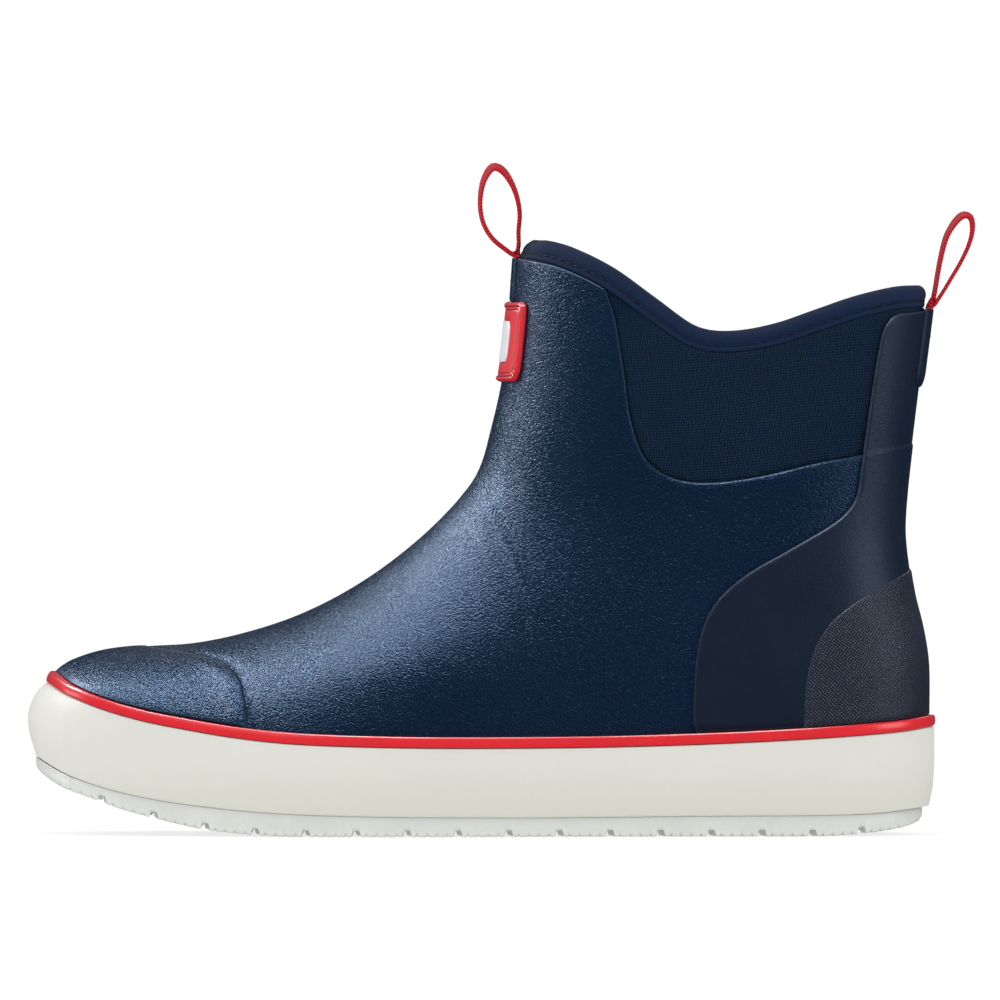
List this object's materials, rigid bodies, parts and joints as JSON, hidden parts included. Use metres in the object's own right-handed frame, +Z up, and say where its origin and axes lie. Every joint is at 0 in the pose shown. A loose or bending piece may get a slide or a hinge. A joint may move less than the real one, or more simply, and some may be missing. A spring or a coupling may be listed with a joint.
{
  "type": "ankle deck boot",
  "caption": "Left ankle-high rubber deck boot with scalloped collar, side stretch panels, raised sidewall sole and a webbing pull loop front and rear.",
  "frame": {"origin": "ground plane under the middle of the sole's length, on the boot's middle line", "axes": "+X from toe to heel, +Y towards the inner side of the foot, +Z up"},
  "size_m": [0.3158, 0.1061, 0.2228],
  "materials": {
    "navy_rubber": "pebble-grain rubber, semi-gloss",
    "navy_smooth_rubber": "smooth rubber, matt",
    "navy_neoprene": "knit-faced neoprene",
    "binding_fabric": "stretch binding tape",
    "navy_thread": "bonded thread",
    "lining_fabric": "knit lining",
    "red_rubber": "glossy rubber",
    "red_webbing": "woven webbing",
    "white_rubber": "off-white rubber, satin",
    "tread_rubber": "milky rubber, satin",
    "white_inlay": "smooth white rubber",
    "foam": "foam, matt",
    "board_fibre": "fibre board",
    "shank_nylon": "filled nylon"
  },
  "bodies": {
    "boot": {"outsole_tread": "tread_rubber", "sidewall_foxing": "white_rubber", "foxing_stripe": "red_rubber", "midsole_core": "foam", "shank_plate": "shank_nylon", "insole_board": "board_fibre", "footbed_foam": "foam", "footbed_cover": "lining_fabric", "lining_bootie": "lining_fabric", "heel_stiffener": "board_fibre", "toe_puff": "board_fibre", "vamp_shell": "navy_rubber", "heel_quarter": "navy_rubber", "toe_cap": "navy_rubber", "neoprene_panel": "navy_neoprene", "back_counter": "navy_smooth_rubber", "heel_patch": "navy_smooth_rubber", "collar_binding": "binding_fabric", "collar_stitching": "navy_thread", "badge_base": "red_rubber", "badge_inlay": "white_inlay", "front_anchor_tab": "navy_smooth_rubber", "front_bartack": "navy_thread", "front_webbing_tail": "red_webbing", "rear_anchor_tab": "navy_smooth_rubber", "rear_bartack": "navy_thread", "rear_webbing_tail": "red_webbing"},
    "front_loop": {"front_pull_loop": "red_webbing"},
    "rear_loop": {"rear_pull_loop": "red_webbing"}
  },
  "joints": [
    {"name": "front_loop_swing", "type": "hinge", "parent": "boot", "child": "front_loop", "pos_m": [0.0096, 0, 0.1936], "axis": [0, 1, 0], "range_deg": [-70, 4], "stiffness_Nm_per_rad": 0.01},
    {"name": "rear_loop_swing", "type": "hinge", "parent": "boot", "child": "rear_loop", "pos_m": [0.1517, 0, 0.1768], "axis": [0, 1, 0], "range_deg": [-2, 75], "stiffness_Nm_per_rad": 0.01}
  ]
}
